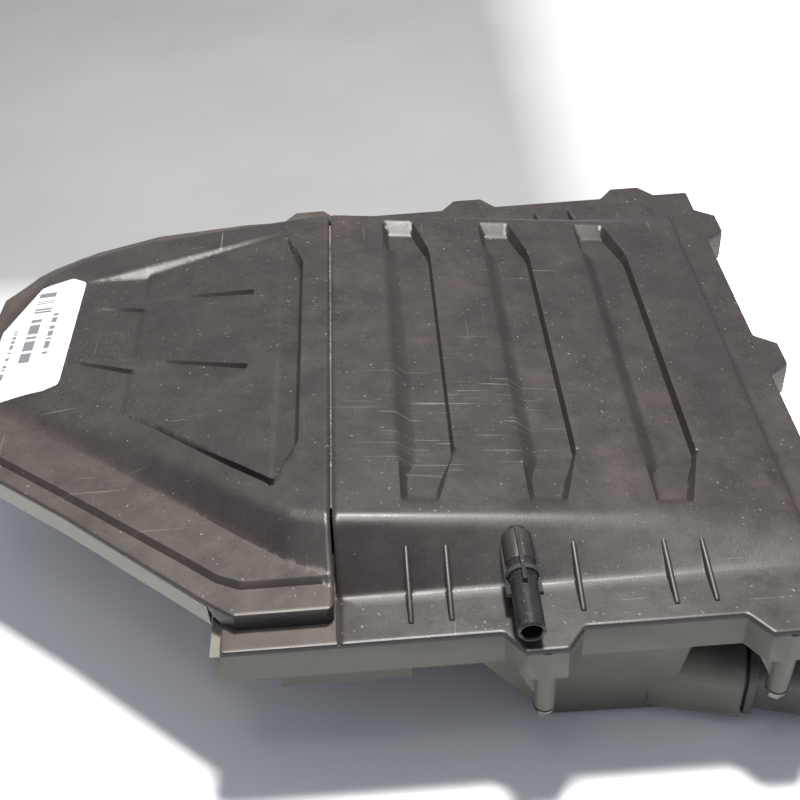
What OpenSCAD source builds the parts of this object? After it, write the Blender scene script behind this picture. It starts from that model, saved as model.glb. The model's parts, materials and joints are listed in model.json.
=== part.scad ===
// Panel air filter housing: a tub with a raw-air neck, a clamped panel element,
// and a screwed-down cover whose plenum runs left into a two-shell clean-air duct.
// X runs right, Y runs away from the front, Z is up. The housing rests on Z = 0.

/* [Flange] */
// Left-to-right size of the flange, without its screw tabs
flange_w = 282; // [270:1:300]
// Front-to-back size of the flange, without its screw tabs
flange_d = 346; // [335:1:360]
// Height of the cover flange's top above the surface the housing rests on
flange_z = 88; // [84:1:92]
// Thickness of the cover's flange plate
plate_t = 3; // [2.5:0.1:4]
// Height of the tub's outer rim
rim_h = 17; // [15:0.5:20]

/* [Cover] */
// Height of the dome above the flange at the duct seam
dome_high = 28; // [22:1:32]
// Fall of the dome's top for each millimetre to the right
dome_fall = 0.112; // [0.08:0.002:0.12]
// Rise of the duct's top for each millimetre to the right
duct_rise = 0.07; // [0.04:0.005:0.09]
// Wall thickness of the moulded shells
wall = 2.6; // [2:0.1:3]
// Depth of the long recesses in the dome
recess_depth = 6; // [3:0.5:8]
// Depth of the pocket in the duct's top
pocket_depth = 5; // [3:0.5:7]
// Distance from one recess to the next
recess_pitch = 58.4; // [50:0.2:60]

/* [Screws] */
// Radius of a screw's shank
screw_r = 2.5; // [2:0.1:3]
// Distance from the flange's edge out to a screw's axis
screw_out = 6; // [5:0.5:7]
// How far a screw tab stands out from the flange
tab_out = 11; // [10:0.5:13]

/* [Filter] */
// Height of the pleated pack
pleat_h = 32; // [26:1:34]
// Distance from one pleat to the next
pleat_pitch = 8; // [6:0.5:12]

/* [Ports] */
// Outer radius of the outlet collar
outlet_r = 29; // [26:0.5:30]
// Length of the outlet collar that a hose slides over
outlet_len = 20; // [16:1:26]
// Outer radius of the vent tube
vent_r = 6; // [5:0.25:7]
// Width of the raw-air neck
neck_w = 42; // [36:1:44]
// Height of the raw-air neck
neck_h = 32; // [28:1:33]
// Angle at which the raw-air neck turns towards the front
neck_turn = -15; // [-20:1:-8]

/* [Hidden] */
$fn = 48;

eps = 0.01;
// How much thinner the vent tube is behind its hose stop, and its wall there
vent_shoulder = 0.6;
vent_wall = 1;
// Clearance of parts that are pressed or clamped together
press_gap = 0.05;
slip_gap = 0.3;
// How far one solid runs into the next so that they join
overlap = 1;
hw = flange_w / 2;
hd = flange_d / 2;
plate_z = flange_z - plate_t;
rim_z = plate_z - rim_h;
// The dome starts at the duct seam
seam_x = -90;
dome_end = 119;
crease_front = -125;
crease_back = 132;
slope_front = -148;
slope_back = 148;
// Opening of the rim above the tub, and the seat that the element's frame rests in
open_w = 129;
open_d = 147;
seat_w = 134;
seat_d = 153;
seat_z = plate_z - 6;
// Screw tabs: places along each side of the flange
front_tabs = [-2, 102];
back_tabs = [-106, -2, 102];
right_tabs = [-131.5, 0, 133.5];
tab_base = 35;
tab_tip = 18;
screw_bore = screw_r + 0.3;
sleeve_r = 3.6;
insert_r = 3.4;
boss_r = 4.3;
post_low = 44;
post_tip_r = 4.7;
post_root_r = 5.3;
post_wall = 1.2;
web_low = post_low + 7;
web_root = [-12, -4];
head_z = 38;
screw_at = concat([for (x = front_tabs) [x, -hd - screw_out]], [for (x = back_tabs) [x, hd + screw_out]],
                  [for (y = right_tabs) [hw + screw_out, y]]);
// Rubber mounts below the tub
mount_at = [[-96, 118], [108, 118], [30, -128]];
grommet_h = 12;
// Outlet collar's axis
outlet_y = 22;
outlet_z = 70;
duct_end = -286;
// Vent tube's axis
vent_x = -9;
vent_z = flange_z + 12;
vent_front = -184;
vent_step = -157;
vent_back = -128;
// Raw-air neck's axis, where it leaves the tub
neck_at = [86, -143.5, 21.5];
neck_len = 88;
neck_lip = 2.2;
neck_corner = 9;
neck_wall = 2.4;
neck_stop = [14, 18, 3];
seal_grow = 2.5;
seal_len = 10;
socket_grow = 5;
socket_from = -30;
socket_to = 12;
// The flange's centre, seen from the middle of the whole housing
neck_right = neck_at[0] + neck_len * cos(neck_turn) - (neck_w / 2 + neck_lip) * sin(neck_turn);
neck_front = neck_at[1] + neck_len * sin(neck_turn) - (neck_w / 2 + neck_lip) * cos(neck_turn);
flange_x = -(duct_end - outlet_len + neck_right) / 2;
flange_y = -(hd + tab_out + neck_front) / 2;

function unit(v) = v / norm(v);
// Moves every side of a counter-clockwise outline inwards by g
function inset(p, g) = [for (i = [0 : len(p) - 1])
    let (a = p[(i + len(p) - 1) % len(p)], b = p[i], c = p[(i + 1) % len(p)],
         u = unit(b - a), v = unit(c - b), m = [-u[1] - v[1], u[0] + v[0]])
    b + m * 2 * g / (m * m)];
function at_z(p, z) = [for (q = p) [q[0], q[1], z]];
// Height of the cover's top surface at x, less a wall thickness g
function top_z(x, g = 0) = flange_z + dome_high - g
    - (x > seam_x ? dome_fall * (x - seam_x) : duct_rise * (seam_x - x));
function on_top(p, g = 0) = [for (q = p) [q[0], q[1], top_z(q[0], g)]];
function box_path(x0, x1, y0, y1) = [[x0, y0], [x1, y0], [x1, y1], [x0, y1]];

// A closed solid between two outlines with the same number of points
module loft(low, high) {
    n = len(low);
    polyhedron(points = concat(low, high), faces = concat(
        [[for (i = [0 : n - 1]) i]], [[for (i = [n - 1 : -1 : 0]) i + n]],
        [for (i = [0 : n - 1]) [i, i + n, (i + 1) % n + n]],
        [for (i = [0 : n - 1]) [i, (i + 1) % n + n, (i + 1) % n]]));
}

// Keeps a free-form shell as one mesh, so that the exact shapes around it stay exact
module moulded() {
    resize([0, 0, 0]) children();
}

module place() {
    translate([flange_x, flange_y, 0]) children();
}

module slab(z0, z1) {
    translate([0, 0, z0]) linear_extrude(z1 - z0) children();
}

module block(x0, x1, y0, y1, z0, z1) {
    translate([x0, y0, z0]) cube([x1 - x0, y1 - y0, z1 - z0]);
}

module rod(x, y, z0, z1, r) {
    translate([x, y, z0]) cylinder(h = z1 - z0, r = r);
}

module at_screws() {
    for (p = screw_at) translate([p[0], p[1], 0]) children();
}

module tab_outline() {
    polygon([[-tab_base / 2, -1], [tab_base / 2, -1], [tab_tip / 2, tab_out], [-tab_tip / 2, tab_out]]);
}

module flange_outline() {
    square([flange_w, flange_d], center = true);
    for (x = front_tabs) translate([x, -hd]) rotate(180) tab_outline();
    for (x = back_tabs) translate([x, hd]) tab_outline();
    for (y = right_tabs) translate([hw, y]) rotate(-90) tab_outline();
}

// ---- Tub ----
shallow_top = box_path(-137, 137, -160, 160);
shallow_low = box_path(-132, 132, -154, 154);
shallow_z = 42;
deep_z = 3;
// Strips under the rim's front edge, the corner lug, the drain's place and the mounts' seats
front_strips = [[-16, 40, -152, -146, shallow_z - 4, rim_z - 5], [-120, -60, -160, -152, shallow_z + 2, rim_z - 8]];
lug = [5, 24];
drain_at = [20, 60];
drain_r = 7.3;
mount_seat = [15, 13];
grommet_r = 12;
bush_r = 6;
deep_top = [[-34, -168], [66, -168], [92, -128], [134, -102], [134, 160], [-130, 160], [-130, -20], [-34, -30]];
deep_low = [[4, -157], [60, -158], [86, -124], [128, -96], [128, 152], [-116, 152], [-116, -14], [2, -22]];

module tub_space(g) {
    loft(at_z(inset(shallow_low, g), shallow_z + g), at_z(inset(shallow_top, g), rim_z + 1));
    loft(at_z(inset(deep_low, g), deep_z + g), at_z(inset(deep_top, g), rim_z + 1));
}

// Straight stretch of the raw-air neck, grown by g and running from a to b
module neck_shape(g, a, b) {
    r = neck_corner + g;
    translate(neck_at) rotate([0, 0, neck_turn]) translate([a, 0, 0]) rotate([90, 0, 90])
        linear_extrude(b - a) union() {
                square([neck_w + 2 * g - 2 * r, neck_h + 2 * g], center = true);
                square([neck_w + 2 * g, neck_h + 2 * g - 2 * r], center = true);
                for (i = [-1, 1], j = [-1, 1])
                    translate([i * (neck_w / 2 + g - r), j * (neck_h / 2 + g - r)]) circle(r);
            }
}

module screw_post() {
    difference() {
        union() {
            translate([0, 0, post_low]) cylinder(h = rim_z - post_low + overlap, r1 = post_tip_r, r2 = post_root_r);
            rod(0, 0, rim_z + 0.5, plate_z, boss_r + post_wall);
        }
        rod(0, 0, post_low - 1, rim_z + 5, sleeve_r);
        rod(0, 0, rim_z + 4, plate_z + 1, boss_r + slip_gap);
    }
}

// Both chambers below the rim, with the neck's socket and the seats of the rubber mounts
module tub_shell() {
    difference() {
        union() {
            tub_space(0);
            neck_shape(socket_grow, socket_from, socket_to);
            for (p = mount_at) rod(p[0], p[1], deep_z + 1, deep_z + mount_seat[1] + 3, mount_seat[0]);
            for (q = front_strips) block(q[0], q[1], q[2], q[3], q[4], q[5]);
        }
        tub_space(wall);
        for (p = mount_at) rod(p[0], p[1], -1, deep_z + mount_seat[1], grommet_r);
        neck_shape(seal_grow + 0.1, socket_from - 6, socket_to + 8);
        rod(drain_at[0], drain_at[1], -1, 12, drain_r + 0.1);
    }
}

module tub_rim() {
    difference() {
        slab(rim_z, plate_z) flange_outline();
        slab(rim_z - 1, plate_z + 1) square([2 * open_w, 2 * open_d], center = true);
        slab(seat_z, plate_z + 1) square([2 * seat_w, 2 * seat_d], center = true);
        at_screws() rod(0, 0, rim_z - 1, plate_z + 1, boss_r + 0.6);
    }
}

module lower_housing() {
    color([0.36, 0.35, 0.34]) place() union() {
        tub_rim();
        moulded() tub_shell();
        at_screws() screw_post();
        for (x = front_tabs) translate([x, -hd + 3, 0]) rotate([90, 0, 0]) linear_extrude(screw_out + 4)
            polygon([[web_root[0], rim_z + overlap], [web_root[1], web_low], [web_root[1], rim_z + overlap]]);
        block(-hw - lug[0], -hw + 2, -hd + 2, -hd + lug[1], rim_z + 1, plate_z - 2);
    }
}

module inlet_neck() {
    color([0.17, 0.17, 0.17]) place() difference() {
        union() {
            neck_shape(0, -socket_to, neck_len);
            neck_shape(neck_stop[2], neck_stop[0], neck_stop[1]);
            neck_shape(neck_lip, neck_len - 6, neck_len);
        }
        neck_shape(-neck_wall, -socket_to - overlap, neck_len + overlap);
    }
}

module inlet_seal() {
    color([0.08, 0.08, 0.08]) place() difference() {
        neck_shape(seal_grow, -seal_len, seal_len);
        neck_shape(press_gap, -seal_len - overlap, seal_len + overlap);
    }
}

module drain_valve() {
    color([0.06, 0.06, 0.06]) place() translate([drain_at[0], drain_at[1], 0]) difference() {
        union() {
            translate([0, 0, 0.6]) cylinder(h = 10, r = drain_r);
            translate([0, 0, deep_z + wall + 0.2]) cylinder(h = 2, r = 10);
        }
        translate([0, 0, 4]) cylinder(h = 8, r = 5);
        translate([-4, -0.4, -1]) cube([8, 0.8, 8]);
    }
}

module mount_grommets() {
    color([0.07, 0.07, 0.07]) place() for (p = mount_at) translate([p[0], p[1], 0]) difference() {
        union() {
            cylinder(h = grommet_h, r = grommet_r - 0.2);
            cylinder(h = wall, r = grommet_r + 2);
        }
        translate([0, 0, -1]) cylinder(h = grommet_h + 2, r = bush_r);
    }
}

module mount_sleeves() {
    color([0.72, 0.72, 0.7]) place() for (p = mount_at) translate([p[0], p[1], 0]) difference() {
        translate([0, 0, 0.4]) cylinder(h = grommet_h - 0.8, r = bush_r - press_gap);
        translate([0, 0, -1]) cylinder(h = grommet_h + 2, r = bush_r - 1.8);
    }
}

module screw_sleeves() {
    color([0.7, 0.66, 0.5]) place() at_screws() difference() {
        rod(0, 0, post_low - 1.5, rim_z + 3.8, sleeve_r - 0.02);
        rod(0, 0, post_low - 3, rim_z + 5, screw_bore);
    }
}

module cover_screws() {
    color([0.55, 0.55, 0.56]) place() at_screws() difference() {
        union() {
            rod(0, 0, head_z + 1, plate_z - 1, screw_r);
            rod(0, 0, head_z + 2.6, post_low - 1.7, 5);
            rod(0, 0, head_z, head_z + 3, 4);
        }
        rod(0, 0, head_z - 1, head_z + 2, 2.1);
    }
}

// ---- Filter element ----
frame_w = seat_w - 0.5;
frame_d = seat_d - 0.5;
skirt_h = 10;
filter_gap = 0.2;
pack_w = open_w - 5;
pack_d = open_d - 4;
pack_z = plate_z - 2.4 - pleat_h;
paper_rise = 1.5;
paper_end = 0.6;
pleats = floor(2 * pack_w / pleat_pitch);

module filter_frame() {
    color([0.86, 0.42, 0.16]) place() difference() {
        union() {
            slab(seat_z, plate_z - filter_gap) square([2 * frame_w, 2 * frame_d], center = true);
            slab(seat_z - skirt_h, seat_z + overlap) square([2 * open_w - 1, 2 * open_d - 1], center = true);
        }
        slab(seat_z - skirt_h - overlap, plate_z + overlap) square([2 * pack_w + 0.2, 2 * pack_d + 0.2], center = true);
    }
}

function fold(i) = [-pack_w + paper_end + i * (pack_w - paper_end) / pleats,
                    i % 2 == 0 ? 0 : pleat_h - paper_rise];

module filter_pleats() {
    color([0.93, 0.91, 0.83]) place() translate([0, pack_d, pack_z + filter_gap]) rotate([90, 0, 0])
        linear_extrude(2 * pack_d) polygon(concat([for (i = [0 : 2 * pleats]) fold(i)],
            [for (i = [2 * pleats : -1 : 0]) fold(i) + [0, paper_rise]]));
}

module filter_glue_beads() {
    color([0.95, 0.94, 0.9]) place() for (y = [-0.5, 0.5])
        block(-pack_w, pack_w, y * pack_d - 1, y * pack_d + 1, pack_z + pleat_h + 0.25, pack_z + pleat_h + 1.2);
}

module filter_mesh() {
    half = 0.7;
    color([0.75, 0.75, 0.72]) place() for (i = [-3 : 3]) {
        block(i * 36 - half, i * 36 + half, -pack_d, pack_d, pack_z - 2 * half, pack_z);
        block(-pack_w, pack_w, i * 40 - half, i * 40 + half, pack_z - 2 * half, pack_z);
    }
}

// ---- Cover ----
dome_low = box_path(seam_x, dome_end + 7, slope_front, slope_back);
dome_top = box_path(seam_x, dome_end, crease_front, crease_back);

module recess(x0) {
    y0 = -115;
    y1 = 126;
    top = [[x0, y0], [x0 + 17, y0], [x0 + 27, y0 + 35], [x0 + 27, y1 - 33], [x0 + 18, y1], [x0, y1]];
    low = [[x0 + 7, y0 + 8], [x0 + 15, y0 + 8], [x0 + 24, y0 + 37], [x0 + 24, y1 - 38],
           [x0 + 16, y1 - 9], [x0 + 7, y1 - 9]];
    loft(on_top(low, recess_depth), on_top(top, -0.3));
}

module recess_floor(x0) {
    y0 = -118;
    y1 = 129;
    loft(on_top(box_path(x0 + 3, x0 + 29, y0 + 8, y1 - 9), recess_depth + wall),
         on_top(box_path(x0 - 3, x0 + 31, y0, y1), wall - 1));
}

recesses = [-59, -59 + recess_pitch, -59 + 2 * recess_pitch];
front_fins = [-58.3, -40.7, 16.2, 56.7, 73.9];
back_fins = [40, 62];
fin_t = 1.8;
vent_boss_y = -152;

module gusset(x, foot) {
    z = top_z(x) - flange_z;
    translate([x - fin_t / 2, 0, 0]) rotate([90, 0, 90]) linear_extrude(fin_t)
        polygon([[foot, flange_z - 0.5], [foot, flange_z + 0.6], [-134, top_z(x) - 0.22 * z], [-130, flange_z]]);
}

module dome() {
    difference() {
        loft(at_z(dome_low, plate_z + 1), on_top(dome_top));
        difference() {
            loft(at_z(inset(dome_low, wall), plate_z - 1), on_top(inset(dome_top, wall), wall));
            for (x = recesses) recess_floor(x);
        }
        block(seam_x - 1, seam_x + wall + 1, -104, 112, flange_z - 5, flange_z + dome_high - 5);
        for (x = recesses) recess(x);
    }
    for (x = front_fins) gusset(x, -165);
    for (x = back_fins) mirror([0, 1, 0]) gusset(x, -160);
}

module main_cover() {
    color([0.33, 0.31, 0.3]) place() difference() {
        union() {
            difference() {
                slab(plate_z, flange_z) flange_outline();
                block(-hw + 14, dome_end + 3, -open_d + 6, open_d - 6, plate_z - 1, flange_z + 1);
            }
            moulded() dome();
            at_screws() rod(0, 0, rim_z + 5, plate_z + 1, boss_r);
            translate([vent_x, vent_boss_y, vent_z]) rotate([-90, 0, 0]) cylinder(h = 18.5, r = vent_r + 1.6);
            block(vent_x - 1, vent_x + 1, vent_boss_y, vent_back, vent_z + vent_r, vent_z + vent_r + 2.8);
        }
        at_screws() rod(0, 0, rim_z + 4, plate_z + 1.5, insert_r);
        translate([vent_x, vent_boss_y - 18, vent_z]) rotate([-90, 0, 0])
            cylinder(h = 60, r = vent_r - vent_shoulder + press_gap);
    }
}

module cover_inserts() {
    color([0.78, 0.62, 0.3]) place() at_screws() difference() {
        rod(0, 0, rim_z + 5.4, plate_z + 1.2, insert_r - 0.01);
        rod(0, 0, rim_z + 4, plate_z + 2, screw_r + 0.08);
    }
}

// Outer edge of the duct's shells, and the foot and the crease of its top
duct_edge = [[seam_x - 1, 158], [-146, 158], [-200, 152], [-238, 138], [-262, 122], [-286, 92],
             [-286, -42], [-221, -91.5], [-191, -116.3], [-143, -155.5], [-134, -161.5],
             [seam_x - 1, -161.5]];
duct_step = [[seam_x - 1, 148], [-146, 148], [-204, 143], [-244, 129], [-266, 112], [-285, 84],
             [-285, -33], [-224, -79], [-158, -130], [-143, -142], [-132, -147],
             [seam_x - 1, -147]];
duct_foot = [[seam_x - 1, 147], [-146, 146], [-204, 141], [-243, 127], [-265, 109], [-284, 60],
             [-283, -6], [-212, -56], [-161.6, -95.4], [-133, -118.4], [-111, -135],
             [seam_x - 1, -144.8]];
duct_crease = [[seam_x - 1, 132.5], [-146, 131], [-203, 128.5], [-239, 118], [-259, 101],
               [-279, 50], [-279, 4], [-207, -43.5], [-161, -78], [-132, -102.5], [-109, -118.5],
               [seam_x - 1, -124.5]];
ledge_z = flange_z + 9.5;
step_z = ledge_z + 3;
band_z = ledge_z - wall;

// Pocket in the duct's top, at its rim and at its floor
pocket_top = [[-196, -44], [-113, -104], [-106, -76], [-106, 91], [-115, 121], [-227, 91]];
pocket_low = [[-194, -41], [-116, -97], [-109, -75], [-108, 88], [-117, 114], [-197, 88]];

module seam_gasket() {
    color([0.09, 0.09, 0.09]) place() difference() {
        block(seam_x - 0.95, seam_x - 0.05, -116, 124, flange_z + 0.2, flange_z + 24.5);
        block(seam_x - 2, seam_x + 1, -103, 111, flange_z - 1, flange_z + 22.5);
    }
}

tray_z = 40;
band_h = 12;
tray_top = [[-146.5, 157], [-200, 152], [-238, 138], [-262, 122], [-286, 92], [-286, -42],
            [-221, -91.5], [-191, -116.3], [-146.5, -153]];
tray_mid = [[-147, 155], [-200, 150], [-238, 136], [-261, 120], [-285, 90], [-285, -41],
            [-221, -90], [-191, -115], [-147, -152]];
tray_low = [[-156, 80], [-200, 80], [-238, 74], [-262, 66], [-284, 54], [-284, -8], [-221, -34],
            [-180, -56], [-156, -70]];

module duct_lower_shell() {
    color([0.42, 0.42, 0.39]) place() difference() {
        union() {
            slab(flange_z + 0.05, band_z) polygon(inset(duct_edge, 2.8));
            slab(band_z - band_h, band_z) polygon(tray_top);
            moulded() loft(at_z(tray_low, tray_z), at_z(tray_mid, band_z - band_h + eps));
        }
        slab(flange_z - 1, band_z + 1) polygon(inset(duct_edge, 12));
        slab(band_z - band_h - eps, band_z + 1) polygon(inset(tray_top, 3));
        moulded() loft(at_z(inset(tray_low, wall), tray_z + wall),
                        at_z(inset(tray_mid, wall), band_z - band_h + 2 * eps));
        translate([duct_end - 5, outlet_y, outlet_z]) rotate([0, 90, 0]) cylinder(h = 12, r = outlet_r - 3);
    }
}

module duct_top() {
    difference() {
        loft(at_z(duct_foot, step_z - eps), on_top(duct_crease));
        difference() {
            loft(at_z(inset(duct_foot, wall), step_z - 2 * eps), on_top(inset(duct_crease, wall), wall));
            loft(on_top(inset(pocket_top, -3), pocket_depth + wall), on_top(inset(pocket_top, -3), wall - 1));
        }
        loft(on_top(pocket_low, pocket_depth), on_top(pocket_top, -0.2));
    }
}

module duct_upper_shell() {
    color([0.33, 0.31, 0.3]) place() difference() {
        union() {
            slab(band_z + 0.05, ledge_z) polygon(duct_edge);
            intersection() {
                slab(flange_z + 0.1, ledge_z) polygon(duct_edge);
                block(-141, seam_x - 1, -180, 180, flange_z, ledge_z);
            }
            slab(ledge_z - eps, step_z) polygon(duct_step);
            moulded() duct_top();
        }
        slab(flange_z, band_z + 0.1) polygon(inset(duct_edge, 2.7));
        slab(band_z - 1, step_z - 2 * eps) polygon(inset(duct_foot, wall));
    }
}

module outlet_collar() {
    color([0.16, 0.16, 0.16]) place() translate([duct_end, outlet_y, outlet_z]) rotate([0, -90, 0]) difference() {
        union() {
            translate([0, 0, -6]) cylinder(h = outlet_len + 6, r = outlet_r - 3.05);
            cylinder(h = outlet_len - 2, r = outlet_r);
            translate([0, 0, outlet_len - 2]) cylinder(h = 2, r1 = outlet_r, r2 = outlet_r - 1);
        }
        translate([0, 0, -7]) cylinder(h = outlet_len + 8, r = outlet_r - 5.5);
    }
}

module outlet_mesh() {
    bars = [-4 : 4];
    grid_pitch = 5;
    grid_t = 0.8;
    color([0.2, 0.2, 0.2]) place() translate([duct_end + 1, outlet_y, outlet_z]) rotate([0, 90, 0]) union() {
        difference() {
            cylinder(h = 3, r = outlet_r - 5.55);
            translate([0, 0, -1]) cylinder(h = 5, r = outlet_r - 7);
        }
        for (i = bars) {
            half = sqrt(pow(outlet_r - 6.5, 2) - pow(i * grid_pitch, 2));
            translate([i * grid_pitch - grid_t / 2, -half, 0]) cube([grid_t, 2 * half, 3]);
            translate([-half, i * grid_pitch - grid_t / 2, 0]) cube([2 * half, grid_t, 3]);
        }
    }
}

module vent_tube() {
    color([0.11, 0.11, 0.11]) place() difference() {
        union() {
            translate([vent_x, vent_front, vent_z]) rotate([-90, 0, 0]) cylinder(h = vent_step - vent_front, r = vent_r);
            translate([vent_x, vent_step, vent_z]) rotate([-90, 0, 0])
                cylinder(h = vent_back - vent_step, r = vent_r - vent_shoulder);
        }
        translate([vent_x, vent_front - 1, vent_z]) rotate([-90, 0, 0])
            cylinder(h = vent_back - vent_front + 2, r = vent_r - vent_shoulder - vent_wall);
    }
}

module vent_seal() {
    color([0.05, 0.05, 0.05]) place() translate([vent_x, -154.5, vent_z]) rotate([-90, 0, 0]) difference() {
        cylinder(h = 2.4, r = vent_r + 1.4);
        translate([0, 0, -1]) cylinder(h = 4, r = vent_r - vent_shoulder + 0.02);
    }
}

module label() {
    color([0.93, 0.93, 0.92]) place() moulded() intersection() {
        translate([0, 0, 0.05]) loft(on_top(duct_crease, 0.5), on_top(duct_crease, -0.15));
        block(-277, -235, -8, 96, flange_z, flange_z + 40);
    }
}

lower_housing();
inlet_neck();
inlet_seal();
drain_valve();
mount_grommets();
mount_sleeves();
screw_sleeves();
cover_screws();
filter_frame();
filter_pleats();
filter_glue_beads();
filter_mesh();
main_cover();
cover_inserts();
seam_gasket();
duct_lower_shell();
duct_upper_shell();
outlet_collar();
outlet_mesh();
vent_tube();
vent_seal();
label();
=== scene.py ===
import json
import math
import bmesh
import bpy
import numpy as np
from mathutils import Matrix, Vector
from mathutils.geometry import delaunay_2d_cdt

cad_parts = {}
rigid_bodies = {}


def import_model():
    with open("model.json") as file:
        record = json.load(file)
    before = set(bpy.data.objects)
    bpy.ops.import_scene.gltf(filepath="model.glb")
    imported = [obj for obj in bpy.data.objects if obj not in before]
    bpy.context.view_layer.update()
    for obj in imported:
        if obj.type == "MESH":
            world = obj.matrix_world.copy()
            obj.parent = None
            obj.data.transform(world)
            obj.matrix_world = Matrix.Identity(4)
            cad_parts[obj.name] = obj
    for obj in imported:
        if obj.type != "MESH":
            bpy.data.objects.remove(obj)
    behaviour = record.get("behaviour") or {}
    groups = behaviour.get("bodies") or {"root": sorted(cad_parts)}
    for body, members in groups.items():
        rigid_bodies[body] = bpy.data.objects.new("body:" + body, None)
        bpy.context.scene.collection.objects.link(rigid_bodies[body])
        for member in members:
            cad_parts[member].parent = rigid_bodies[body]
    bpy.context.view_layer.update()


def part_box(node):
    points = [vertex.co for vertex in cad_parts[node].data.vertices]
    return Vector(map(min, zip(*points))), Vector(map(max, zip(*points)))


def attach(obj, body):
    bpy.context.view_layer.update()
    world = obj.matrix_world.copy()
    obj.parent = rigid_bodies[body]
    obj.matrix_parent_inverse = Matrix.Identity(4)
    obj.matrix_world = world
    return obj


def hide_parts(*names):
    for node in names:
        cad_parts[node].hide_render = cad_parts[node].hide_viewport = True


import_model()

# ---- Setting -------------------------------------------------------------------------------
# The housing lies on a pale table that turns greyer behind it, under one lamp that hangs almost
# overhead. All places are taken from the flange's centre, in millimetres.
MM = 0.001
cover_low, cover_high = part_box("main_cover")
flange_w, flange_d, tab_out = 282.0, 346.0, 11.0
dome_high = 28.0
centre = Vector((cover_low.x + flange_w / 2 * MM, (cover_low.y + cover_high.y) / 2, 0))
deck = cover_high.z / MM - dome_high


def at(x, y, z):
    """A place in metres from its millimetres."""
    return Vector((x * MM + centre.x, y * MM + centre.y, z * MM))


def shown(name, data):
    """A new object in the scene for a mesh, a lamp or a camera."""
    thing = bpy.data.objects.new(name, data)
    bpy.context.scene.collection.objects.link(thing)
    return thing


def light(name, place, target, size, watts, colour):
    """A rectangular lamp that points from its place at its target."""
    lamp = bpy.data.lights.new(name, "AREA")
    lamp.shape = "RECTANGLE"
    lamp.size, lamp.size_y = size
    lamp.energy = watts
    lamp.color = colour
    holder = shown(name, lamp)
    holder.location = place
    holder.rotation_euler = (target - place).to_track_quat("-Z", "Y").to_euler()
    return holder


light("lamp", at(80, 200, 1650), at(-20, 0, 60), (0.2, 0.2), 62, (1.0, 0.99, 0.97))
# A second lamp only adds gloss, as a bright ceiling would
gleam = light("ceiling", at(-230, -440, 1500), at(0, -40, 90), (0.35, 0.2), 44, (1.0, 0.985, 0.96))
gleam.visible_diffuse = False
bpy.context.scene.view_settings.view_transform = "Standard"

world = bpy.data.worlds.new("room")
bpy.context.scene.world = world
world.use_nodes = True
room_light = world.node_tree.nodes["Background"].inputs
room_light["Color"].default_value = (0.78, 0.84, 1.0, 1)
room_light["Strength"].default_value = 0.42

# The camera looks down at forty degrees with a small roll
view_forward = Vector((0, 0.7635, -0.6458))
view_right = Vector((0.99718, -0.04847, -0.05730))
view_up = Vector((0.07505, 0.64398, 0.76136))
lens = bpy.data.cameras.new("camera")
lens.lens = 51.75
lens.sensor_width = 36
lens.clip_start = 0.02
eye = shown("camera", lens)
eye.rotation_euler = Matrix((view_right, view_up, -view_forward)).transposed().to_euler()
eye.location = at(-56, -480.5, deck + 393.2)
bpy.context.scene.camera = eye


class Socket:
    """One output of a shader tree; arithmetic on it adds Math nodes."""

    def __init__(self, tree, output):
        self.tree, self.output = tree, output

    def math(self, kind, *others):
        node = self.tree.nodes.new("ShaderNodeMath")
        node.operation = kind
        for place, value in zip(node.inputs, (self, *others)):
            if isinstance(value, Socket):
                self.tree.links.new(value.output, place)
            else:
                place.default_value = value
        return Socket(self.tree, node.outputs[0])

    def __add__(self, other):
        return self.math("ADD", other)

    def __sub__(self, other):
        return self.math("SUBTRACT", other)

    def __mul__(self, other):
        return self.math("MULTIPLY", other)

    def __rsub__(self, other):
        return (self * -1.0) + other

    __radd__ = __add__
    __rmul__ = __mul__


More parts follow.
